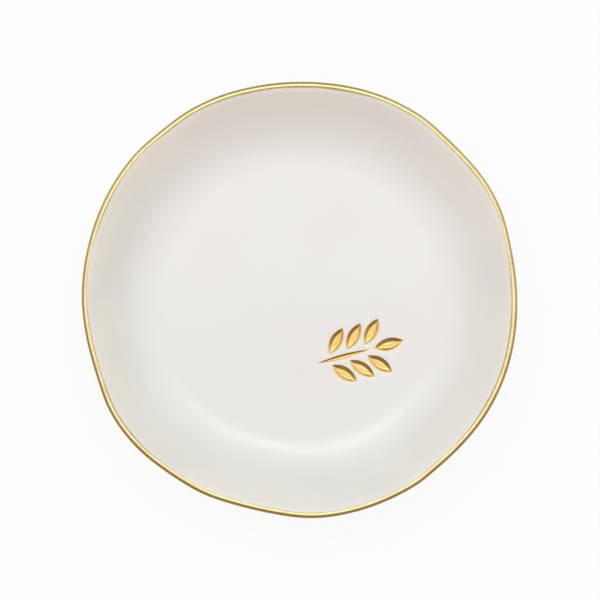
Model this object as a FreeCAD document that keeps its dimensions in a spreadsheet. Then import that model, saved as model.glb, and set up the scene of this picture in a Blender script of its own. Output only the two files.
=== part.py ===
import FreeCAD, Part
import math
import os
import Sketcher

from FreeCAD import Placement, Rotation, Vector

# A small hand-formed ceramic ring dish: a flared wall with an uneven lip, a low foot ring,
# a leaf sprig pressed into the floor, gold lustre round the lip and gold in every leaf.
# Millimetres, +Z up. The origin is the middle of the foot, on the surface the dish stands on.

SHEET = "Dimensions"

# Driving dimensions
SIZES = {
    "dish_radius": 54.0,
    "dish_height": 18.0,
    "floor_height": 4.0,
    "outer_slope": 57.0,
    "inner_slope": 53.0,
    "floor_bend": 18.0,
    "heel_bevel": 6.0,
    "lip_width": 1.5,
    "lip_bevel": 0.7,
    "lip_inner_bevel": 0.3,
    "foot_height": 1.2,
    "foot_radius": 36.0,
    "foot_width": 3.5,
    "foot_bevel": 0.4,
    "gold": 0.12,
    "gold_outside": 1.1,
    "gold_inside": 0.15,
    "stamp_x": 14.8,
    "stamp_y": -13.4,
    "stamp_turn": 15.0,
    "stamp_depth": 0.7,
    "stem_arc": 39.0,
    "stem_spread": 38.35,
    "stem_middle": -4.1,
    "leaf_arc": 5.2,
    "leaf_spread": 3.55,
    "leaf_angle": 48.0,
    "leaf_arm": 5.6,
    "leaf_first": -8.6,
    "leaf_pitch": 4.6,
    "leaf_tip": 7.8,
}

# Dips and swells of the hand-formed lip: angle from +X in degrees, reach past the round in mm
LIP_TURNS = [
    (9, -0.45), (29, 0.4), (46, -0.15), (58, 0.3), (94, -0.35), (140, 0.3), (174, -0.05),
    (196, -0.4), (215, 0.7), (256, -0.75), (280, 0.35), (312, -0.15), (333, 0.15),
]
LEAF_PAIRS = 3


def make_sheet():
    sheet = doc.addObject("Spreadsheet::Sheet", SHEET)
    cells = dict(SIZES)
    for number, (angle, reach) in enumerate(LIP_TURNS):
        cells[f"turn_angle_{number:02d}"] = angle
        cells[f"turn_reach_{number:02d}"] = reach
    for row, (alias, value) in enumerate(cells.items(), start=1):
        sheet.set(f"A{row}", alias)
        sheet.set(f"B{row}", str(value))
        sheet.setAlias(f"B{row}", alias)
    doc.recompute()


def cell(name):
    return f"{SHEET}.{name}"


# Lengths that follow from the driving dimensions, as expressions on the sheet
LIP_TOP = f"{cell('dish_radius')} + {cell('lip_bevel')} * cos({cell('outer_slope')})"
LIP_INSIDE = f"{LIP_TOP} - {cell('lip_width')}"
GOLD_TOP = f"{cell('dish_height')} + {cell('gold')}"
GOLD_OUTLINE = (
    f"{LIP_TOP} + {cell('gold')} * (1 + cos({cell('outer_slope')})) / sin({cell('outer_slope')})"
)
GOLD_INLINE = (
    f"{LIP_INSIDE} - {cell('gold')} * (1 - cos({cell('inner_slope')})) / sin({cell('inner_slope')})"
)
GOLD_BEVEL = (
    f"{cell('lip_bevel')} + {cell('gold')} * (1 / sin({cell('outer_slope')} / 2) - 1)"
    f" / cos({cell('outer_slope')} / 2)"
)
GOLD_INNER_BEVEL = (
    f"{cell('lip_inner_bevel')} + {cell('gold')} * (1 / cos({cell('inner_slope')} / 2) - 1)"
    f" / sin({cell('inner_slope')} / 2)"
)
STAMP_FLOOR = f"{cell('floor_height')} - {cell('stamp_depth')}"


def polar(radius, degrees):
    return Vector(radius * math.cos(math.radians(degrees)), radius * math.sin(math.radians(degrees)))


def add_body(name):
    body = doc.addObject("PartDesign::Body", name)
    body.Label = name
    body.Placement = Placement()
    return body


def add_sketch(body, name, height):
    """Level sketch at a height that follows an expression."""
    sketch = body.newObject("Sketcher::SketchObject", f"{body.Name}_{name}")
    plane = next(item for item in body.Origin.OriginFeatures if item.Role == "XY_Plane")
    sketch.AttachmentSupport = [(plane, "")]
    sketch.MapMode = "FlatFace"
    sketch.setExpression("AttachmentOffset.Base.z", height)
    return sketch


def drive(sketch, kind, places, value, expression):
    """Adds a dimension that starts at a value and follows an expression."""
    number = sketch.addConstraint(Sketcher.Constraint(kind, *places, value))
    sketch.setExpression(f"Constraints[{number}]", expression)


def drive_point(sketch, place, point, across, along):
    drive(sketch, "DistanceX", (-1, 1, *place), point.x, across)
    drive(sketch, "DistanceY", (-1, 1, *place), point.y, along)


def draw_circle(sketch, radius):
    circle = sketch.addGeometry(Part.Circle(Vector(), Vector(0, 0, 1), SIZES["foot_radius"]))
    sketch.addConstraint(Sketcher.Constraint("Coincident", circle, 3, -1, 1))
    drive(sketch, "Radius", (circle,), SIZES["foot_radius"], radius)


def arc_from_turn(turn, joint, ends):
    """Arc between a turn of the lip and a joint, square to the turn's spoke."""
    outward = Vector(turn).normalize()
    chord = turn - joint
    radius = chord.dot(chord) / (2 * chord.dot(outward))
    centre = turn - outward * radius
    first, last = [math.atan2(end.y - centre.y, end.x - centre.x) for end in ends]
    circle = Part.Circle(centre, Vector(0, 0, 1), radius)
    return Part.ArcOfCircle(circle, first, last if last > first else last + 2 * math.pi)


def draw_lip(sketch, radius):
    """The uneven outline: two tangent arcs between each dip and the next swell."""
    angles = [angle for angle, reach in LIP_TURNS]
    turns = [polar(SIZES["dish_radius"] + reach, angle) for angle, reach in LIP_TURNS]
    spokes = []
    for number, turn in enumerate(turns):
        spoke = sketch.addGeometry(Part.LineSegment(Vector(), turn), True)
        sketch.addConstraint(Sketcher.Constraint("Coincident", spoke, 1, -1, 1))
        length = f"({radius} + {cell(f'turn_reach_{number:02d}')})"
        angle = cell(f"turn_angle_{number:02d}")
        drive_point(sketch, (spoke, 2), turn, f"{length} * cos({angle})", f"{length} * sin({angle})")
        spokes.append(spoke)
    for number, turn in enumerate(turns):
        following = (number + 1) % len(turns)
        last_turn = turns[following]
        middle = (angles[number] + angles[following]) / 2
        back = 180 if following == 0 else 360 if middle > 180 else 0
        joint = polar((turn.Length + last_turn.Length) / 2, middle - back)
        leaving, arriving = sketch.addGeometry([
            arc_from_turn(turn, joint, (turn, joint)),
            arc_from_turn(last_turn, joint, (joint, last_turn)),
        ])
        spoke = sketch.addGeometry(Part.LineSegment(Vector(), joint), True)
        sketch.addConstraint([
            Sketcher.Constraint("Coincident", leaving, 1, spokes[number], 2),
            Sketcher.Constraint("PointOnObject", leaving, 3, spokes[number]),
            Sketcher.Constraint("Coincident", arriving, 2, spokes[following], 2),
            Sketcher.Constraint("PointOnObject", arriving, 3, spokes[following]),
            Sketcher.Constraint("Tangent", leaving, 2, arriving, 1),
            Sketcher.Constraint("Coincident", spoke, 1, -1, 1),
            Sketcher.Constraint("Coincident", spoke, 2, leaving, 2),
        ])
        both = f"{cell(f'turn_angle_{number:02d}')} + {cell(f'turn_angle_{following:02d}')}"
        drive(sketch, "Angle", (spoke,), math.radians(middle - back), f"(({both}) / 2 - {back}) * 1 deg")


def add_pad(body, name, sketch, length, taper="0", upward=True):
    pad = body.newObject("PartDesign::Pad", f"{body.Name}_{name}")
    pad.Profile = (sketch, [""])
    pad.Reversed = not upward
    pad.setExpression("Length", length)
    pad.setExpression("TaperAngle", taper)
    doc.recompute()
    return pad


def add_pocket(body, name, sketch, length, taper="0", upward=False):
    pocket = body.newObject("PartDesign::Pocket", f"{body.Name}_{name}")
    pocket.Profile = (sketch, [""])
    pocket.Reversed = upward
    pocket.setExpression("Length", length)
    pocket.setExpression("TaperAngle", taper)
    doc.recompute()
    return pocket


def level_edges(feature, height, least, most):
    """Names of the edges that lie at one height, between two distances from the axis."""
    names = []
    for number, edge in enumerate(feature.Shape.Edges, start=1):
        box = edge.BoundBox
        middle = edge.valueAt((edge.FirstParameter + edge.LastParameter) / 2)
        level = abs(box.ZMin - height) < 0.01 and abs(box.ZMax - height) < 0.01
        if level and least < math.hypot(middle.x, middle.y) < most:
            names.append(f"Edge{number}")
    return names


def add_bevel(body, name, feature, edges, width):
    bevel = body.newObject("PartDesign::Chamfer", f"{body.Name}_{name}")
    bevel.Base = (feature, edges)
    bevel.setExpression("Size", width)
    doc.recompute()
    return bevel


def add_bend(body, name, feature, edges, radius):
    bend = body.newObject("PartDesign::Fillet", f"{body.Name}_{name}")
    bend.Base = (feature, edges)
    bend.setExpression("Radius", radius)
    doc.recompute()
    return bend


def sprig_leaves():
    """Name and arcs of every leaf of the sprig, and its place and turn as expressions."""
    leaves = [
        ("gold_stem", "stem", cell("stem_middle"), "0", "0"),
        ("gold_leaf_tip", "leaf", cell("leaf_tip"), "0", "0"),
    ]
    angle = cell("leaf_angle")
    arm = cell("leaf_arm")
    for number in range(LEAF_PAIRS):
        along = f"{cell('leaf_first')} + {number} * {cell('leaf_pitch')} + {arm} * cos({angle})"
        for side, sign in (("left", ""), ("right", "-")):
            aside = f"{sign}{arm} * sin({angle})"
            leaves.append((f"gold_leaf_{side}_{number + 1}", "leaf", along, aside, f"{sign}{angle}"))
    return leaves


def leaf_sketch(body, leaf, name, height, shrink=""):
    """Pointed leaf of two equal arcs, drawn along its own axis and then set in its place."""
    label, kind, along, aside, turn = leaf
    sketch = add_sketch(body, f"{label}_{name}", height)
    sketch.AttachmentOffset = Placement(Vector(), Rotation(Vector(0, 0, 1), 1))
    slant = cell("stamp_turn")
    across = f"{cell('stamp_x')} + ({along}) * cos({slant}) - ({aside}) * sin({slant})"
    upward = f"{cell('stamp_y')} + ({along}) * sin({slant}) + ({aside}) * cos({slant})"
    sketch.setExpression("AttachmentOffset.Base.x", across)
    sketch.setExpression("AttachmentOffset.Base.y", upward)
    sketch.setExpression("AttachmentOffset.Rotation.Angle", f"({slant} + {turn}) * 1 deg")

    radius = SIZES[f"{kind}_arc"]
    spread = SIZES[f"{kind}_spread"]
    half_angle = math.acos(spread / radius)
    arcs = []
    for side in (1, -1):
        circle = Part.Circle(Vector(0, side * spread), Vector(0, 0, 1), radius)
        facing = -side * math.pi / 2
        arcs.append(Part.ArcOfCircle(circle, facing - half_angle, facing + half_angle))
    lower, upper = sketch.addGeometry(arcs)
    sketch.addConstraint([
        Sketcher.Constraint("Coincident", lower, 2, upper, 1),
        Sketcher.Constraint("Coincident", upper, 2, lower, 1),
        Sketcher.Constraint("PointOnObject", lower, 3, -2),
        Sketcher.Constraint("PointOnObject", upper, 3, -2),
    ])
    drive(sketch, "DistanceY", (-1, 1, lower, 3), spread, cell(f"{kind}_spread"))
    drive(sketch, "DistanceY", (upper, 3, -1, 1), spread, cell(f"{kind}_spread"))
    for arc in (lower, upper):
        drive(sketch, "Radius", (arc,), radius, cell(f"{kind}_arc") + shrink)
    return sketch


def make_dish():
    """The ceramic: flared wall, hollow with a round bend, bevelled lip and heel, foot and stamp."""
    body = add_body("dish_body")
    lip = add_sketch(body, "lip", cell("dish_height"))
    draw_lip(lip, LIP_TOP)
    depth = f"{cell('dish_height')} - {cell('foot_height')}"
    flare = add_pad(body, "flare", lip, depth, f"{cell('outer_slope')} - 90", upward=False)
    heel = level_edges(flare, SIZES["foot_height"], SIZES["foot_radius"], SIZES["dish_radius"])
    add_bevel(body, "heel", flare, heel, cell("heel_bevel"))

    ring = add_sketch(body, "ring", "0")
    draw_circle(ring, cell("foot_radius"))
    draw_circle(ring, f"{cell('foot_radius')} - {cell('foot_width')}")
    add_pad(body, "foot", ring, cell("foot_height"))

    mouth = add_sketch(body, "mouth", cell("dish_height"))
    draw_lip(mouth, LIP_INSIDE)
    depth = f"{cell('dish_height')} - {cell('floor_height')}"
    hollow = add_pocket(body, "hollow", mouth, depth, f"{cell('inner_slope')} - 90")
    crease = level_edges(hollow, SIZES["floor_height"], 0, SIZES["dish_radius"])
    bend = add_bend(body, "bend", hollow, crease, cell("floor_bend"))

    lip_middle = SIZES["dish_radius"] + SIZES["lip_bevel"] / 2 - SIZES["lip_width"] / 2
    outside = level_edges(bend, SIZES["dish_height"], lip_middle, 2 * lip_middle)
    bevel = add_bevel(body, "bevel", bend, outside, cell("lip_bevel"))
    inside = level_edges(bevel, SIZES["dish_height"], 0, lip_middle - SIZES["lip_width"] / 4)
    bevel = add_bevel(body, "inner_bevel", bevel, inside, cell("lip_inner_bevel"))
    foot_middle = SIZES["foot_radius"] - SIZES["foot_width"] / 2
    foot_edge = level_edges(bevel, 0, foot_middle, SIZES["dish_radius"])
    add_bevel(body, "foot_bevel", bevel, foot_edge, cell("foot_bevel"))

    for leaf in sprig_leaves():
        stamp = leaf_sketch(body, leaf, "stamp", cell("floor_height"))
        add_pocket(body, f"{leaf[0]}_recess", stamp, cell("stamp_depth"))
    return body


def make_gold_rim(dish):
    """Film of lustre over the lip: a slightly larger lip, hollowed, with the dish cut out of it."""
    blank = add_body("gold_rim_blank")
    outline = add_sketch(blank, "outline", GOLD_TOP)
    draw_lip(outline, GOLD_OUTLINE)
    depth = f"{cell('gold')} + {cell('gold_outside')}"
    add_pad(blank, "plug", outline, depth, f"{cell('outer_slope')} - 90", upward=False)
    inline = add_sketch(blank, "inline", GOLD_TOP)
    draw_lip(inline, GOLD_INLINE)
    add_pocket(blank, "hollow", inline, f"2 * ({depth})", f"{cell('inner_slope')} - 90")
    below = add_sketch(blank, "below", f"{cell('dish_height')} - {cell('gold_outside')}")
    draw_lip(below, LIP_INSIDE)
    height = f"{cell('gold_outside')} - {cell('gold_inside')}"
    step = add_pocket(blank, "step", below, height, upward=True)

    top = SIZES["dish_height"] + SIZES["gold"]
    lip_middle = SIZES["dish_radius"] + SIZES["lip_bevel"] / 2 - SIZES["lip_width"] / 2
    outside = level_edges(step, top, lip_middle, 2 * lip_middle)
    bevel = add_bevel(blank, "bevel", step, outside, GOLD_BEVEL)
    inside = level_edges(bevel, top, 0, lip_middle - SIZES["lip_width"] / 4)
    add_bevel(blank, "inner_bevel", bevel, inside, GOLD_INNER_BEVEL)

    rim = doc.addObject("Part::Cut", "gold_rim")
    rim.Label = "gold_rim"
    rim.Base = blank
    rim.Tool = dish
    doc.recompute()
    return rim


def make_gold_leaf(leaf):
    """Film of lustre that lines one pressed leaf: its floor and its sides."""
    body = add_body(leaf[0])
    outline = leaf_sketch(body, leaf, "outline", STAMP_FLOOR)
    add_pad(body, "fill", outline, cell("stamp_depth"))
    inline = leaf_sketch(body, leaf, "inline", cell("floor_height"), f" - {cell('gold')}")
    add_pocket(body, "hollow", inline, f"{cell('stamp_depth')} - {cell('gold')}")
    return body


doc = FreeCAD.newDocument("ring_dish")
make_sheet()
dish = make_dish()
parts = [dish, make_gold_rim(dish)]
for leaf in sprig_leaves():
    parts.append(make_gold_leaf(leaf))
doc.recompute()

for item in doc.Objects:
    if "Invalid" in item.State or "Error" in item.State:
        raise RuntimeError(f"{item.Name} is {item.State}")
os.makedirs("parts", exist_ok=True)
for part in parts:
    if part.Shape.isNull() or not part.Shape.isValid():
        raise RuntimeError(f"{part.Label} has no valid shape")
    part.Shape.exportStep(f"parts/{part.Label}.step")
    print(part.Label, len(part.Shape.Solids), "solid,", round(part.Shape.Volume, 1), "mm3")
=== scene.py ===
import math

import bmesh
import bpy
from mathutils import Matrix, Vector, noise


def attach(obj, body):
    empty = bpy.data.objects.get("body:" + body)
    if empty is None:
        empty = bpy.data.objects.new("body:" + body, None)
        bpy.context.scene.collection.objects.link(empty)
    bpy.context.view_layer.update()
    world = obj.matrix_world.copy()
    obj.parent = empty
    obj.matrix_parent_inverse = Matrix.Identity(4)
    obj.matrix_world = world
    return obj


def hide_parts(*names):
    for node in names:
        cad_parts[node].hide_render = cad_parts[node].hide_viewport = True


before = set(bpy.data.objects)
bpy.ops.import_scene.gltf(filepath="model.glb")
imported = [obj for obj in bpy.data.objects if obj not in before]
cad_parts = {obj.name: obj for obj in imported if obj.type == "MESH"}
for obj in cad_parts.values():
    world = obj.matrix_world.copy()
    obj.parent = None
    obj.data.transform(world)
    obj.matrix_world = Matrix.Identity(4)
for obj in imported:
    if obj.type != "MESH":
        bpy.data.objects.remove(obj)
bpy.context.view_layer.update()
mm = 0.001
hair = 0.01  # millimetres within which two places count as one
print("frame loaded:", len(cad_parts), "solids")


# small helpers for working the meshes


def clearPick():
    active = bpy.context.view_layer.objects.active
    if active and active.mode != "OBJECT":
        bpy.ops.object.mode_set(mode="OBJECT")
    bpy.ops.object.select_all(action="DESELECT")


def pick(piece):
    clearPick()
    piece.select_set(True)
    bpy.context.view_layer.objects.active = piece


def smoothStep(low, high, value):
    step = min(max((value - low) / (high - low), 0), 1)
    return step * step * (3 - 2 * step)


def roundedSection(corners):
    # each corner: radius, height, rounding, rings that the rounding gets
    section = []
    for number, (radius, height, rounding, rings) in enumerate(corners):
        corner = Vector((radius, height))
        if not rounding:
            section.append(corner)
            continue
        back = (Vector(corners[number - 1][:2]) - corner).normalized()
        ahead = (Vector(corners[number + 1][:2]) - corner).normalized()
        half = back.angle(ahead) / 2
        middle = corner + (back + ahead).normalized() * rounding / math.sin(half)
        first = corner + back * rounding / math.tan(half) - middle
        last = corner + ahead * rounding / math.tan(half) - middle
        sweep = first.angle(last)
        for ring in range(rings):
            part = ring / (rings - 1)
            turned = first * math.sin((1 - part) * sweep) + last * math.sin(part * sweep)
            section.append(middle + turned / math.sin(sweep))
    return section


def evenRings(section, longest):
    # splits the long straight runs of a section
    rings = [section[0]]
    for start, end in zip(section, section[1:]):
        parts = max(1, math.ceil((end - start).length / longest))
        for part in range(1, parts + 1):
            rings.append(start.lerp(end, part / parts))
    return rings


def stackRings(name, rings, segments):
    # a circle extruded and scaled from ring to ring, as on a wheel
    clearPick()
    radius, height = rings[0]
    bpy.ops.mesh.primitive_circle_add(vertices=segments, radius=radius * mm, location=(0, 0, 0))
    piece = bpy.context.object
    piece.name = name
    bpy.ops.object.mode_set(mode="EDIT")
    bpy.ops.mesh.select_all(action="SELECT")
    bpy.ops.transform.translate(value=(0, 0, height * mm))
    for nextRadius, nextHeight in rings[1:]:
        rise = (0, 0, (nextHeight - height) * mm)
        bpy.ops.mesh.extrude_edges_move(TRANSFORM_OT_translate={"value": rise})
        grow = nextRadius / radius
        bpy.ops.transform.resize(value=(grow, grow, 1), center_override=(0, 0, 0))
        radius, height = nextRadius, nextHeight
    return piece


def pickRing(piece, radius, height):
    bpy.ops.mesh.select_mode(type="VERT")
    bpy.ops.mesh.select_all(action="DESELECT")
    shape = bmesh.from_edit_mesh(piece.data)
    for vert in shape.verts:
        away = math.hypot(vert.co.x, vert.co.y) / mm - radius
        vert.select_set(abs(away) < hair and abs(vert.co.z / mm - height) < hair)
    shape.select_flush(True)
    bmesh.update_edit_mesh(piece.data)


def faceOut(piece):
    bpy.ops.mesh.select_all(action="SELECT")
    bpy.ops.mesh.normals_make_consistent(inside=False)
    bpy.ops.object.mode_set(mode="OBJECT")


# the dish: sizes in millimetres
dishShape = {
    "segments": 240,
    "floorHeight": 4.0,
    "floorEdge": 32.2,  # the floor inside this is a grid
    "floorBend": 18.0,
    "bendRings": 21,
    "innerSlope": 53,
    "outerSlope": 57,
    "lipHeight": 18.0,
    "lipInside": 52.9,
    "lipOutside": 54.3,
    "lipCrown": 53.38,  # where the lip starts to fall away outwards
    "lipShoulder": 17.58,
    "lipRound": 0.45,
    "lipRings": 9,
    "shoulderRound": 0.2,
    "shoulderRings": 8,
    "shoulderFilm": 0.6,  # how much of a film's thickness lifts the shoulder
    "insideFilm": 0.7,  # and how much of it narrows the inside
    "heelBend": 11.0,
    "heelRings": 15,
    "underside": 1.2,
    "closeRadius": 0.8,  # last ring underneath, merged to a point
    "footRadius": 36.0,
    "footWidth": 3.5,
    "footRound": 0.5,
    "footTopRings": 5,
    "footLowRings": 6,
    "longestRun": 3.0,
    "looseBend": 4.0,  # how far past the bend, the foot and the toe the wall is free to wander
    "looseFoot": 0.6,
    "looseToe": 2.0,
    "sinkFrom": 9.0,
    # angle in degrees, and how far the hand-cut lip stands out there
    "lipTurns": [
        (9, -0.45), (29, 0.4), (46, -0.15), (58, 0.3), (94, -0.35), (120, 0.1), (129, -0.05),
        (140, 0.3), (174, -0.05), (196, -0.4), (215, 0.7), (240, -0.2), (256, -0.75), (279, 0.3),
        (301, 0.2), (311, -0.2), (333, 0.15),
    ],
    "lipDip": 0.16,
    "lipDipPace": 1.6,
    "lipDipDraw": 4.2,
}


def turnedTo(turns, angle):
    # the value at an angle, eased from one turn of a list to the next
    first = turns[0][0]
    heading = (math.degrees(angle) - first) % 360 + first
    for (start, near), (end, far) in zip(turns, turns[1:] + [(first + 360, turns[0][1])]):
        if heading <= end:
            part = (heading - start) / (end - start)
            ease = 2 * part * part if part < 0.5 else 1 - 2 * (1 - part) ** 2
            return near + (far - near) * ease
    return turns[0][1]


def lipReach(angle):
    return turnedTo(dishShape["lipTurns"], angle)


def lipDrop(angle):
    pace = dishShape["lipDipPace"]
    wander = noise.noise(Vector((math.cos(angle) * pace, math.sin(angle) * pace, dishShape["lipDipDraw"])))
    return dishShape["lipDip"] * (1 - wander) / 2


def wallReach(height, slope, radius):
    return radius - (dishShape["lipHeight"] - height) / math.tan(math.radians(slope))


def lipSection(film):
    # the rounded lip, grown by a film
    shape = dishShape
    high = shape["lipHeight"] + film
    low = shape["lipShoulder"] + film * shape["shoulderFilm"]
    inside = shape["lipInside"] - film * shape["insideFilm"]
    outside = wallReach(low, shape["outerSlope"], shape["lipOutside"]) + film
    rounding = shape["lipRound"] + film
    return [
        (inside, high, rounding, shape["lipRings"]),
        (shape["lipCrown"], high, rounding, shape["lipRings"]),
        (outside, low, shape["shoulderRound"], shape["shoulderRings"]),
    ]


def dishSection():
    shape = dishShape
    floor = shape["floorHeight"]
    under = shape["underside"]
    foot = shape["footRadius"]
    recess = foot - shape["footWidth"]
    top = (shape["footRound"], shape["footTopRings"])
    low = (shape["footRound"], shape["footLowRings"])
    bend = wallReach(floor, shape["innerSlope"], shape["lipInside"])
    toe = wallReach(under, shape["outerSlope"], shape["lipOutside"])
    corners = [
        (shape["floorEdge"], floor, 0, 0),
        (bend, floor, shape["floorBend"], shape["bendRings"]),
        *lipSection(0),
        (toe, under, shape["heelBend"], shape["heelRings"]),
        (foot, under, *top),
        (foot, 0, *low),
        (recess, 0, *low),
        (recess, under, *top),
        (shape["closeRadius"], under, 0, 0),
    ]
    return evenRings(roundedSection(corners), shape["longestRun"])


# the pressed sprig: sizes in millimetres
sprig = {
    "x": 14.8,
    "y": -13.4,
    "turn": 15,
    "leafArc": 5.2,
    "leafSpread": 3.55,
    "leafAngle": 48,
    "leafArm": 5.6,
    "leafFirst": -8.6,
    "leafPitch": 4.6,
    "leafTip": 7.8,
    "leafPairs": 3,
    "stemArc": 39.0,
    "stemSpread": 38.35,
    "stemMiddle": -4.1,
    "shoulder": 0.9,  # soft glaze edge round each pressed leaf
    "shoulderIn": 0.3,
    "shoulderDrop": 0.12,
    "wallOut": 0.1,
    "wall": 1.22,
    "drop": 0.54,
    "vein": 0.1,
    "veinWidth": 0.3,
    "veinStart": 0.3,
    "veinFull": 0.9,
    "swell": 0.05,  # clay pushed up round the leaves
    "swellFar": 1.3,
    "swellWidth": 0.9,
    # floor faces are split once for each pair: reach outside a leaf, depth inside it
    "splits": [(2.8, 9), (2.3, 9), (1.2, 9), (0.5, 1.1)],
}


def sprigLeaves():
    leaf = (sprig["leafArc"], sprig["leafSpread"])
    stem = (sprig["stemArc"], sprig["stemSpread"])
    placed = [
        ("gold_stem", stem, sprig["stemMiddle"], 0, 0),
        ("gold_leaf_tip", leaf, sprig["leafTip"], 0, 0),
    ]
    lean = math.radians(sprig["leafAngle"])
    for number in range(sprig["leafPairs"]):
        along = sprig["leafFirst"] + sprig["leafPitch"] * number + sprig["leafArm"] * math.cos(lean)
        aside = sprig["leafArm"] * math.sin(lean)
        placed.append((f"gold_leaf_left_{number + 1}", leaf, along, aside, lean))
        placed.append((f"gold_leaf_right_{number + 1}", leaf, along, -aside, -lean))
    slant = math.radians(sprig["turn"])
    leaves = []
    for node, arcs, along, aside, turn in placed:
        x = sprig["x"] + along * math.cos(slant) - aside * math.sin(slant)
        y = sprig["y"] + along * math.sin(slant) + aside * math.cos(slant)
        leaves.append({"node": node, "arcs": arcs, "x": x, "y": y, "turn": slant + turn})
    return leaves


def leafEdge(along, aside, arcs):
    # distance to the edge of a leaf between two arcs, below 0 inside it
    arc, spread = arcs
    along = abs(along)
    aside = abs(aside)
    point = math.sqrt(arc * arc - spread * spread)
    if (along - point) * spread > aside * point:
        return math.hypot(aside, along - point)
    return math.hypot(aside + spread, along) - arc


def leafFrame(leaf, x, y):
    away = Vector((x - leaf["x"], y - leaf["y"]))
    cos = math.cos(leaf["turn"])
    sin = math.sin(leaf["turn"])
    return away.x * cos + away.y * sin, away.y * cos - away.x * sin


def pressed(along, aside, arcs):
    # how far the clay is pressed down at a place of one leaf
    edge = leafEdge(along, aside, arcs)
    if edge > sprig["shoulder"]:
        return 0
    soft = sprig["shoulderDrop"] * smoothStep(-sprig["shoulder"], sprig["shoulderIn"], -edge)
    sunk = soft + sprig["drop"] * smoothStep(-sprig["wallOut"], sprig["wall"], -edge)
    point = math.sqrt(arcs[0] ** 2 - arcs[1] ** 2)
    ridge = math.exp(-((aside / sprig["veinWidth"]) ** 2)) * max(0, 1 - (along / point) ** 2)
    return sunk - sprig["vein"] * ridge * smoothStep(sprig["veinStart"], sprig["veinFull"], -edge)


leaves = sprigLeaves()


def nearestLeaf(x, y):
    return min(leafEdge(*leafFrame(leaf, x, y), leaf["arcs"]) for leaf in leaves)


def swollen(x, y):
    away = (nearestLeaf(x, y) - sprig["swellFar"]) / sprig["swellWidth"]
    return sprig["swell"] * max(0, 1 - away * away) ** 2


def pickNearLeaves(piece, reach, depth):
    # picks the floor faces near the leaves, and none deeper inside than depth
    bpy.ops.mesh.select_mode(type="FACE")
    bpy.ops.mesh.select_all(action="DESELECT")
    shape = bmesh.from_edit_mesh(piece.data)
    low = dishShape["floorHeight"] - hair
    edge = dishShape["floorEdge"]
    for face in shape.faces:
        x, y, z = face.calc_center_median() / mm
        if z > low and math.hypot(x, y) < edge:
            face.select_set(-depth < nearestLeaf(x, y) < reach)
    bmesh.update_edit_mesh(piece.data)


def makeDish():
    rings = dishSection()
    dish = stackRings("glazed_dish", rings, dishShape["segments"])
    bpy.ops.mesh.merge(type="CENTER")  # the last small ring closes underneath
    bpy.ops.object.mode_set(mode="OBJECT")

    # the lip wanders in and out and dips a little, and the floor stays flat
    flat = dishShape["floorEdge"]
    bend = wallReach(dishShape["floorHeight"], dishShape["innerSlope"], dishShape["lipInside"])
    toe = wallReach(dishShape["underside"], dishShape["outerSlope"], dishShape["lipOutside"])
    top = max(range(len(rings)), key=lambda number: rings[number][1])
    for vert in dish.data.vertices:
        x, y, z = vert.co / mm
        radius = math.hypot(x, y)
        away = [math.hypot(ring[0] - radius, ring[1] - z) for ring in rings]
        inside = away.index(min(away)) <= top
        if inside:
            loose = smoothStep(flat, bend + dishShape["looseBend"], radius)
        else:
            fixed = dishShape["footRadius"] + dishShape["looseFoot"]
            loose = smoothStep(fixed, toe + dishShape["looseToe"], radius)
        angle = math.atan2(y, x)
        grow = 1 + lipReach(angle) * loose / max(radius, 1)
        sink = lipDrop(angle) * smoothStep(dishShape["sinkFrom"], dishShape["lipHeight"], z)
        vert.co = Vector((x * grow, y * grow, z - sink)) * mm

    # floor: a grid across the first ring, split finer where the sprig goes
    bpy.ops.object.mode_set(mode="EDIT")
    pickRing(dish, dishShape["floorEdge"], dishShape["floorHeight"])
    bpy.ops.mesh.fill_grid(span=dishShape["segments"] // 4)
    for reach, depth in sprig["splits"]:
        pickNearLeaves(dish, reach, depth)
        bpy.ops.mesh.subdivide(number_cuts=1)
    faceOut(dish)

    # press the sprig into the floor
    low = dishShape["floorHeight"] - hair
    for vert in dish.data.vertices:
        x, y, z = vert.co / mm
        if z > low and math.hypot(x, y) < dishShape["floorEdge"]:
            sunk = max(pressed(*leafFrame(leaf, x, y), leaf["arcs"]) for leaf in leaves)
            vert.co.z += (swollen(x, y) - sunk) * mm
    pick(dish)
    bpy.ops.object.shade_smooth()
    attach(dish, "root")
    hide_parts("dish_body")
    print("dish:", len(dish.data.polygons), "faces")
    return dish


# the painted gold on the lip: sizes in millimetres
goldLip = {
    "segments": 288,
    "film": 0.1,
    "sunk": 0.05,
    "insideEdge": 17.4,
    "outsideEdge": 16.95,
    "outsideFade": 17.4,  # the outer brush edge wanders below this height
    "outsideWander": 0.16,
    "thinRings": 14,  # rings drawn together where the brush stops short
    "edgeRings": 4,  # rings over which the film reaches its full thickness
    "edgeFilm": 0.45,
    # angle in degrees, and the radius at which the brush stopped inside
    "brushTurns": [
        (0, 52.5), (20, 52.95), (35, 52.65), (50, 52.8), (62, 52.7), (80, 52.5), (105, 52.55),
        (125, 52.6), (140, 52.75), (155, 52.6), (170, 52.85), (190, 52.6), (212, 52.45), (240, 52.7),
        (270, 52.6), (292, 52.75), (310, 52.65), (335, 52.4),
    ],
    "brushWander": 0.1,
    "brushPace": 7.0,
    "brushFiner": 3.1,
    "brushDraw": 1.5,
}


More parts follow.
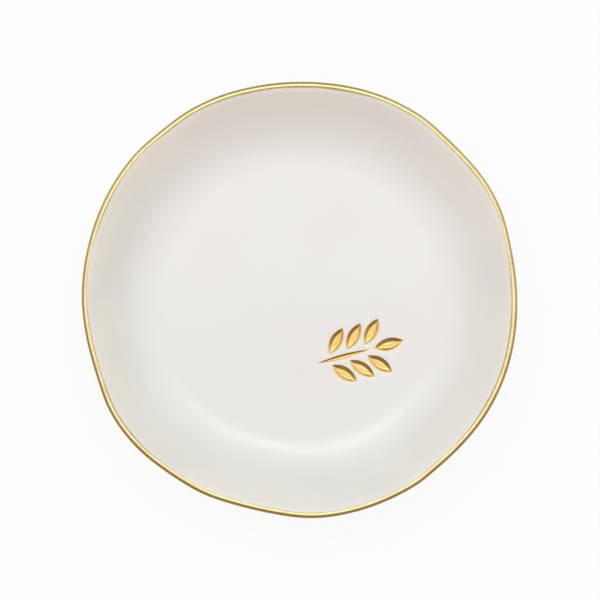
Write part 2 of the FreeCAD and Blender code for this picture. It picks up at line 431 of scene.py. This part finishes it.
def makeGoldLip():
    def lining(film):
        inLow = goldLip["insideEdge"]
        outLow = goldLip["outsideEdge"]
        start = wallReach(inLow, dishShape["innerSlope"], dishShape["lipInside"])
        start -= film * dishShape["insideFilm"]
        end = wallReach(outLow, dishShape["outerSlope"], dishShape["lipOutside"]) + film
        return roundedSection([(start, inLow, 0, 0), *lipSection(film), (end, outLow, 0, 0)])

    def slid(layer, place):
        number = min(int(place), len(layer) - 2)
        return layer[number].lerp(layer[number + 1], place - number)

    outer = lining(goldLip["film"])
    inner = lining(-goldLip["sunk"])
    rings = outer + list(reversed(inner))
    lip = stackRings("gold_lip", rings + [rings[0]], goldLip["segments"])
    bpy.ops.mesh.select_all(action="SELECT")
    bpy.ops.mesh.remove_doubles(threshold=hair * mm)
    faceOut(lip)

    # brush edges wander along the wall, and the band follows the lip
    thin = goldLip["thinRings"]
    lean = math.radians(dishShape["outerSlope"])
    for vert in lip.data.vertices:
        x, y, z = vert.co / mm
        place = Vector((math.hypot(x, y), z))
        angle = math.atan2(y, x)
        pace = goldLip["brushPace"]
        around = Vector((math.cos(angle) * pace, math.sin(angle) * pace, goldLip["brushDraw"]))
        wander = noise.noise(around) + noise.noise(around * goldLip["brushFiner"]) / 2
        away = [(ring - place).length for ring in rings]
        number = away.index(min(away))
        layer = outer
        if number >= len(outer):
            layer = inner
            number = len(rings) - 1 - number
        if number < thin:
            stop = turnedTo(goldLip["brushTurns"], angle) + goldLip["brushWander"] * wander
            first = 0
            while outer[first + 1].x < stop:
                first += 1
            cut = max(0, first + (stop - outer[first].x) / (outer[first + 1].x - outer[first].x))
            drawn = cut + number * (thin - cut) / thin
            place = slid(layer, drawn)
            if layer is outer:
                edge = goldLip["edgeFilm"]
                full = edge + (1 - edge) * smoothStep(0, goldLip["edgeRings"], number)
                place = slid(inner, drawn).lerp(place, full)
        else:
            shift = goldLip["outsideWander"] * wander
            shift *= smoothStep(-goldLip["outsideFade"], -goldLip["outsideEdge"], -z)
            place += Vector((math.cos(lean), math.sin(lean))) * shift
        reach = place.x + lipReach(angle)
        vert.co = Vector((math.cos(angle) * reach, math.sin(angle) * reach, place.y - lipDrop(angle))) * mm
    pick(lip)
    bpy.ops.object.shade_smooth()
    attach(lip, "root")
    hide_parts("gold_rim")
    print("gold lip:", len(lip.data.polygons), "faces")
    return lip


# gold in the pressed leaves: sizes in millimetres
goldLeaf = {
    "lengthwise": 60,
    "crosswise": 26,
    "inset": 0.05,  # bare line between the gold and the leaf's edge
    "lift": 0.045,
    "film": 0.08,
    "weld": 0.002,
    "smoothBelow": 50,  # degrees
}


def makeGoldLeaf(name, arcs):
    # a grid drawn in to the leaf's two arcs and laid into the pressed shape
    clearPick()
    bpy.ops.mesh.primitive_grid_add(
        x_subdivisions=goldLeaf["lengthwise"],
        y_subdivisions=goldLeaf["crosswise"],
        size=2,
        location=(0, 0, 0),
    )
    leaf = bpy.context.object
    leaf.name = name
    arc = arcs[0] - goldLeaf["inset"]
    spread = arcs[1]
    point = math.sqrt(arc * arc - spread * spread)
    for vert in leaf.data.vertices:
        along = math.sin(vert.co.x * math.pi / 2) * point
        halfWidth = math.sqrt(arc * arc - along * along) - spread
        aside = math.sin(vert.co.y * math.pi / 2) * max(halfWidth, 0)
        rise = dishShape["floorHeight"] + goldLeaf["lift"] - pressed(along, aside, arcs)
        vert.co = Vector((along, aside, rise)) * mm
    bpy.ops.object.mode_set(mode="EDIT")
    bpy.ops.mesh.select_all(action="SELECT")
    bpy.ops.mesh.remove_doubles(threshold=goldLeaf["weld"] * mm)
    faceOut(leaf)
    film = leaf.modifiers.new("film", "SOLIDIFY")
    film.thickness = goldLeaf["film"] * mm
    film.offset = -1
    pick(leaf)
    bpy.ops.object.modifier_apply(modifier="film")
    bpy.ops.object.shade_smooth_by_angle(angle=math.radians(goldLeaf["smoothBelow"]))
    return leaf


def makeGoldSprig():
    stem = makeGoldLeaf("gold_sprig_stem", leaves[0]["arcs"])
    first = makeGoldLeaf("gold_sprig_leaf", leaves[1]["arcs"])
    golds = [stem, first]
    for leaf in leaves[2:]:
        copy = first.copy()
        copy.data = first.data.copy()
        bpy.context.collection.objects.link(copy)
        golds.append(copy)
    for gold, leaf in zip(golds, leaves):
        gold.name = leaf["node"].replace("gold_", "gold_film_")
        gold.location = (leaf["x"] * mm, leaf["y"] * mm, 0)
        gold.rotation_euler = (0, 0, leaf["turn"])
        pick(gold)
        bpy.ops.object.transform_apply(location=True, rotation=True, scale=True)
        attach(gold, "root")
        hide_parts(leaf["node"])
    print("gold sprig:", len(golds), "films")
    return golds


# finishes


class Wire:
    # one socket of a node tree, so that sums are written as plain expressions
    def __init__(self, finish, socket):
        self.finish = finish
        self.socket = socket

    def sum(self, operation, first, second):
        return self.finish.add("ShaderNodeMath", {"operation": operation}, {0: first, 1: second})

    def __add__(self, other):
        return self.sum("ADD", self, other)

    def __radd__(self, other):
        return self.sum("ADD", other, self)

    def __sub__(self, other):
        return self.sum("SUBTRACT", self, other)

    def __rsub__(self, other):
        return self.sum("SUBTRACT", other, self)

    def __mul__(self, other):
        return self.sum("MULTIPLY", self, other)

    def out(self, name):
        return Wire(self.finish, self.socket.node.outputs[name])


class Finish:
    def __init__(self, tree):
        self.tree = tree
        self.tree.nodes.clear()

    def add(self, kind, settings=None, sockets=None, out=0):
        node = self.tree.nodes.new(kind)
        for name, value in (settings or {}).items():
            setattr(node, name, value)
        for name, value in (sockets or {}).items():
            if isinstance(value, Wire):
                self.tree.links.new(value.socket, node.inputs[name])
            else:
                node.inputs[name].default_value = value
        return Wire(self, node.outputs[out]) if len(node.outputs) else node

    def blend(self, share, first, second):
        return self.add("ShaderNodeMix", {"data_type": "RGBA"}, {0: share, 6: first, 7: second}, out=2)

    def fade(self, value, low, high):
        ramp = {"interpolation_type": "SMOOTHSTEP"}
        return self.add("ShaderNodeMapRange", ramp, {"Value": value, "From Min": low, "From Max": high})

    def zone(self, value, limits):
        # a fade between two places, given in millimetres
        return self.fade(value, limits[0] * mm, limits[1] * mm)

    def noise(self, place, scale, detail=2.0, rough=0.5):
        sockets = {"Vector": place, "Scale": scale, "Detail": detail, "Roughness": rough}
        return self.add("ShaderNodeTexNoise", None, sockets)


def newFinish(name):
    material = bpy.data.materials.new(name)
    material.use_nodes = True
    return material, Finish(material.node_tree)


# the glaze: each zone runs from the first place to the second, in millimetres
glaze = {
    "floorTone": (0.864, 0.885, 0.879, 1),
    # painted shade: the floor is darker towards the front, away from the light
    "frontShadeTone": (0.814, 0.833, 0.828, 1),
    "frontShadeZone": (25, -30),
    "bendTone": (0.843, 0.862, 0.857, 1),
    "bendZone": (4.02, 4.4),
    # painted light: the wall is lighter and warmer than the floor, lifting its shade
    "litWallTone": (0.884, 0.881, 0.838, 1),
    "wallZone": (4.5, 13),
    # painted light: a greenish tint of light on the left of the wall
    "sideLightTint": (0.889, 0.896, 0.815, 1),
    "sideLightZone": (-15, -45),
    # painted shade: the back wall is darker and pinker, facing away from the light
    "backShadeTone": (0.868, 0.838, 0.804, 1),
    "backShadeZone": (34, 50),
    # painted light: a lighter, warmer glow on the glaze just under the gold
    "lipGlowTone": (0.94, 0.922, 0.866, 1),
    "lipGlowZone": (15.8, 17.2),
    "cloudTone": (0.835, 0.832, 0.815, 1),
    "cloudScale": 42,
    "cloudRange": (0.42, 0.72),
    "cloudShare": 0.6,
    "cloudGloss": 0.1,
    "rippleScale": 240,
    "rippleRelief": 0.8,
    "grainScale": 2400,
    "grainRelief": 0.05,
    "grainGloss": 0.06,
    "bareZone": (0.45, 0.62),
    "bareWave": 0.6,
    "clayTone": (0.62, 0.5, 0.38, 1),
    "clayDark": (0.5, 0.38, 0.27, 1),
    "clayRange": (0.35, 0.7),
    "clayRelief": 0.6,
    "clayRough": 0.85,
    "rough": 0.22,
    "bump": 0.16,
    "bumpDeep": 0.4,
    "bending": 1.5,  # index of refraction
}


def glazeFinish():
    material, finish = newFinish("satin_glaze")
    place = finish.add("ShaderNodeTexCoord", out="Object")
    split = finish.add("ShaderNodeSeparateXYZ", None, {"Vector": place})
    height = split.out("Z")
    clouds = finish.noise(place, glaze["cloudScale"])
    ripple = finish.noise(place, glaze["rippleScale"], detail=3)
    grain = finish.noise(place, glaze["grainScale"])

    # painted shade darkens the floor towards the front and ends at the bend, which has a tone of its own;
    # the wall is painted lighter and warmer as painted light, with a painted tint of light at its left and
    # painted shade at its back
    frontShade = finish.zone(split.out("Y"), glaze["frontShadeZone"])
    tone = finish.blend(frontShade, glaze["floorTone"], glaze["frontShadeTone"])
    tone = finish.blend(finish.zone(height, glaze["bendZone"]), tone, glaze["bendTone"])
    aside = finish.zone(split.out("X"), glaze["sideLightZone"])
    wall = finish.blend(aside, glaze["litWallTone"], glaze["sideLightTint"])
    wall = finish.blend(finish.zone(split.out("Y"), glaze["backShadeZone"]), wall, glaze["backShadeTone"])
    tone = finish.blend(finish.zone(height, glaze["wallZone"]), tone, wall)
    # painted light: the glaze glows lighter just under the gold
    tone = finish.blend(finish.zone(height, glaze["lipGlowZone"]), tone, glaze["lipGlowTone"])
    drift = finish.fade(clouds, *glaze["cloudRange"]) * glaze["cloudShare"]
    tone = finish.blend(drift, tone, glaze["cloudTone"])

    # bare clay on the ring it stands on, with a wavy glaze line
    line = height + (ripple - 0.5) * (glaze["bareWave"] * mm)
    bare = 1 - finish.zone(line, glaze["bareZone"])
    clay = finish.blend(finish.fade(grain, *glaze["clayRange"]), glaze["clayTone"], glaze["clayDark"])
    colour = finish.blend(bare, tone, clay)

    gloss = glaze["rough"] + (clouds - 0.5) * glaze["cloudGloss"] + (grain - 0.5) * glaze["grainGloss"]
    rough = gloss + bare * (glaze["clayRough"] - glaze["rough"])
    relief = ripple * glaze["rippleRelief"] + grain * (glaze["grainRelief"] + bare * glaze["clayRelief"])
    depth = {"Strength": glaze["bump"], "Distance": glaze["bumpDeep"] * mm, "Height": relief}
    bump = finish.add("ShaderNodeBump", None, depth)
    surface = finish.add(
        "ShaderNodeBsdfPrincipled",
        None,
        {"Base Color": colour, "Roughness": rough, "Normal": bump, "IOR": glaze["bending"]},
    )
    finish.add("ShaderNodeOutputMaterial", None, {"Surface": surface})
    return material


# gold lustre: the lip and the leaves differ a little in tone and gloss; the leaves' deeper, more orange
# tone is partly their own gold and partly painted reflection of the gold in its hollows
lipGold = {"bright": (0.935, 0.805, 0.43, 1), "deep": (0.848, 0.68, 0.308, 1), "rough": 0.28}
leafGoldAndReflection = {"bright": (0.95, 0.69, 0.28, 1), "deep": (0.87, 0.55, 0.18, 1), "rough": 0.21}
lustre = {
    "patchScale": 120,
    "patchShare": 0.6,
    "strokeScale": 900,
    "strokeRough": 0.14,
    "strokeRelief": 0.7,
    "speckScale": 4200,
    "speckRange": (0.66, 0.74),
    "speckRough": 0.12,
    "speckRelief": 0.15,
    "deepRange": (0.38, 0.66),
    "bump": 0.1,
    "bumpDeep": 0.1,  # millimetres
}


def goldFinish(name, tone):
    material, finish = newFinish(name)
    place = finish.add("ShaderNodeTexCoord", out="Object")
    patches = finish.noise(place, lustre["patchScale"], detail=3)
    strokes = finish.noise(place, lustre["strokeScale"], detail=4, rough=0.6)
    specks = finish.noise(place, lustre["speckScale"])
    uneven = patches * lustre["patchShare"] + strokes * (1 - lustre["patchShare"])
    colour = finish.blend(finish.fade(uneven, *lustre["deepRange"]), tone["bright"], tone["deep"])
    dull = finish.fade(specks, *lustre["speckRange"]) * lustre["speckRough"]
    rough = tone["rough"] + (strokes - 0.5) * lustre["strokeRough"] + dull
    relief = strokes * lustre["strokeRelief"] + specks * lustre["speckRelief"]
    depth = {"Strength": lustre["bump"], "Distance": lustre["bumpDeep"] * mm, "Height": relief}
    bump = finish.add("ShaderNodeBump", None, depth)
    surface = finish.add(
        "ShaderNodeBsdfPrincipled",
        None,
        {"Base Color": colour, "Roughness": rough, "Metallic": 1.0, "Normal": bump},
    )
    finish.add("ShaderNodeOutputMaterial", None, {"Surface": surface})
    return material


# the pale floor, the light and the camera
studio = {
    "floorSize": 8.0,
    "floorTone": (0.95, 0.965, 0.985, 1),
    "floorShade": (0.935, 0.95, 0.97, 1),
    "mottleScale": 30,
    "floorWhite": 0.85,  # share of its look that is plain white, so that shadows stay faint
    "domeBack": 0.05,  # how far the bright dome leans to the top of the picture
    "domeAside": -0.05,
    "domeStart": 0.4,
    "domeFade": 0.35,
    "domeLow": 0.4,
    "domeHigh": 1.09,
    "metalBack": 0.13,  # metal and gloss show the dome with these changes
    "metalAside": 0.075,
    "metalSides": 0.265,
    "metalFront": 0.15,
    "metalDark": 0.16,
    "metalNarrow": 0.18,
    "metalLow": (1, 0.78, 0.52, 1),
    "metalLowFade": 0.1,
    "horizon": 0.8,
    "horizonBand": (0.1, 0.2),
    "skyWarm": (1, 0.88, 0.815, 1),
    "skyPlain": (0.995, 1, 1, 1),
    "skyTurn": (-0.6, 0.4),
    "keyPower": 0.56,
    "keyTone": (1, 0.99, 0.97),
    "keyWide": 0.34,
    "keyTurns": (68, 96, 124),  # three soft lamps on an arc behind the dish
    "keyLift": 64.5,
    "keyFar": 1.2,
    "cameraFar": 0.75,
    "sensor": 36,
    "frameWidth": 148.15,  # millimetres across the picture at the lip
    "aimX": -0.02,
    "aimY": -0.22,
}


def makeFloor():
    clearPick()
    bpy.ops.mesh.primitive_plane_add(size=studio["floorSize"], location=(0, 0, 0))
    floor = bpy.context.object
    floor.name = "floor"
    material, finish = newFinish("pale_floor")
    place = finish.add("ShaderNodeTexCoord", out="Object")
    mottle = finish.noise(place, studio["mottleScale"], detail=3)
    paper = finish.blend(mottle, studio["floorTone"], studio["floorShade"])
    matt = finish.add("ShaderNodeBsdfDiffuse", None, {"Color": paper})
    white = finish.add("ShaderNodeEmission", None, {"Color": (1, 1, 1, 1), "Strength": 1.0})
    rays = finish.add("ShaderNodeLightPath", out="Is Camera Ray")
    seen = rays + rays.out("Is Glossy Ray") + rays.out("Is Transmission Ray")
    whole = finish.fade(seen, 0, 1) * studio["floorWhite"]
    surface = finish.add("ShaderNodeMixShader", None, {0: whole, 1: matt, 2: white})
    finish.add("ShaderNodeOutputMaterial", None, {"Surface": surface})
    floor.data.materials.append(material)
    print("floor laid")


def makeLight():
    world = bpy.data.worlds.new("soft_dome")
    bpy.context.scene.world = world
    world.use_nodes = True
    finish = Finish(world.node_tree)
    heading = finish.add("ShaderNodeTexCoord", out="Generated")
    split = finish.add("ShaderNodeSeparateXYZ", None, {"Vector": heading})
    # metal shows a dome that leans back more, is lower at the sides and dark in front and below
    mirrored = finish.add("ShaderNodeLightPath", out="Is Glossy Ray")
    back = studio["domeBack"] + mirrored * studio["metalBack"]
    aside = studio["domeAside"] + mirrored * studio["metalAside"]
    low = studio["domeLow"] - mirrored * studio["metalDark"]
    sides = finish.add("ShaderNodeMath", {"operation": "ABSOLUTE"}, {0: split.out("X")})
    lifted = split.out("Z") + split.out("Y") * back + split.out("X") * aside
    front = finish.add("ShaderNodeMath", {"operation": "MAXIMUM"}, {0: split.out("Y") * -1, 1: 0})
    lifted = lifted + mirrored * (sides * studio["metalSides"] - front * studio["metalFront"])
    start = studio["domeStart"] + mirrored * studio["metalNarrow"]
    dome = low + finish.fade(lifted, start, start + studio["domeFade"]) * (studio["domeHigh"] - low)
    band = 1 - finish.fade(split.out("Z"), *studio["horizonBand"])
    level = dome + band * (studio["horizon"] - low)
    facing = finish.fade(split.out("Y"), *studio["skyTurn"])
    tint = finish.blend(facing, studio["skyWarm"], studio["skyPlain"])
    dim = mirrored * (1 - finish.fade(lifted, start, start + studio["metalLowFade"]))
    tint = finish.blend(dim, tint, studio["metalLow"])
    sky = finish.add("ShaderNodeBackground", None, {"Color": tint, "Strength": level})
    finish.add("ShaderNodeOutputWorld", None, {"Surface": sky})

    lamp = bpy.data.lights.new("key", "AREA")
    lamp.shape = "DISK"
    lamp.energy = studio["keyPower"]
    lamp.size = studio["keyWide"]
    lamp.color = studio["keyTone"]
    lift = math.radians(studio["keyLift"])
    for degrees in studio["keyTurns"]:
        turn = math.radians(degrees)
        towards = Vector((math.cos(lift) * math.cos(turn), math.cos(lift) * math.sin(turn), math.sin(lift)))
        key = bpy.data.objects.new("key", lamp)
        bpy.context.collection.objects.link(key)
        key.location = towards * studio["keyFar"]
        key.rotation_euler = (0, math.pi / 2 - lift, turn)
    print("light set")


def makeCamera():
    lens = bpy.data.cameras.new("camera")
    lens.sensor_width = studio["sensor"]
    lens.lens = studio["sensor"] * studio["cameraFar"] / (studio["frameWidth"] * mm)
    camera = bpy.data.objects.new("camera", lens)
    bpy.context.collection.objects.link(camera)
    lip = dishShape["lipHeight"] * mm
    camera.location = (studio["aimX"] * mm, studio["aimY"] * mm, studio["cameraFar"] + lip)
    bpy.context.scene.camera = camera
    print("camera set")


makeCamera()
makeFloor()
makeLight()
bpy.context.scene.view_settings.view_transform = "Standard"

dish = makeDish()
lip = makeGoldLip()
films = makeGoldSprig()
dish.data.materials.append(glazeFinish())
lip.data.materials.append(goldFinish("lip_gold", lipGold))
# the leaves' gold, deepened in part as painted reflection in the pressed hollows
pressedGold = goldFinish("leaf_gold", leafGoldAndReflection)
for film in films:
    film.data.materials.append(pressedGold)
print("finishes on")
